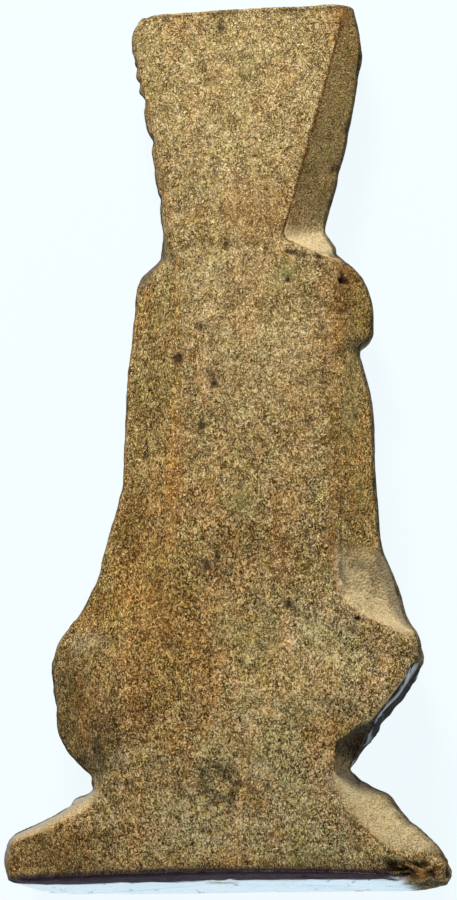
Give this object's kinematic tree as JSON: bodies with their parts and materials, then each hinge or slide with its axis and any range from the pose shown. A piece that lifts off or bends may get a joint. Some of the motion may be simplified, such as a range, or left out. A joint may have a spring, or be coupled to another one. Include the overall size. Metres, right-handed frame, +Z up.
{
  "type": "carved figurine",
  "caption": "Small flat-backed carved figurine with a flaring crown, robed body, jutting hips and a wide flaring base, worn and plainly faceted.",
  "frame": {"origin": "middle of the footprint, on the surface that the figurine lies on, under its flat hidden side", "axes": "+Y towards the crown, +X towards the side with the jutting hip tip, +Z up out of the shown side"},
  "size_m": [0.0329, 0.065, 0.0112],
  "materials": {
    "stone": "worn, scraped and sandy, dull with a faint polish on the high edges"
  },
  "bodies": {
    "root": {"figurine": "stone"}
  },
  "joints": []
}
